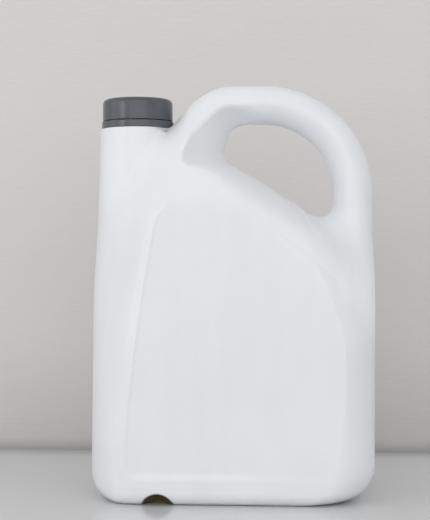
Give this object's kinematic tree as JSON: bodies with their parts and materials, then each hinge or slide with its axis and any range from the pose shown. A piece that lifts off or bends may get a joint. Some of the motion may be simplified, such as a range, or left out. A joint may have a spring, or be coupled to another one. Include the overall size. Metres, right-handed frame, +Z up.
{
  "type": "plastic jerrycan",
  "caption": "Upright blow-moulded plastic jerrycan with an offset neck, grey screw cap, through-handle and recessed label panels, for storing and pouring liquids.",
  "frame": {"origin": "middle of the bounding box's footprint, on the plane of the base", "axes": "+Z up from the base to the handle, +X from the neck end towards the handle's limb, -Y is the front face with the notch"},
  "size_m": [0.2062, 0.126, 0.3],
  "materials": {
    "bottle_plastic": "white HDPE, satin from the mould",
    "cap_plastic": "dark grey polypropylene, satin",
    "liner_foam": "white closed-cell foam, matt"
  },
  "bodies": {
    "can": {"bottle": "bottle_plastic", "tamper_band": "cap_plastic"},
    "liner": {"cap_liner": "liner_foam"},
    "cap": {"screw_cap": "cap_plastic"}
  },
  "joints": [
    {"name": "cap_lift", "type": "slide", "parent": "can", "child": "liner", "axis": [0, 0, 1], "range_m": [0, 0.015]},
    {"name": "cap_turn", "type": "hinge", "parent": "liner", "child": "cap", "pos_m": [-0.0705, 0, 0.28], "axis": [0, 0, 1], "range_deg": [0, 900]}
  ],
  "couplings": [
    {"joint": "cap_lift", "follows": "cap_turn", "m_per_rad": 0.00095493}
  ]
}
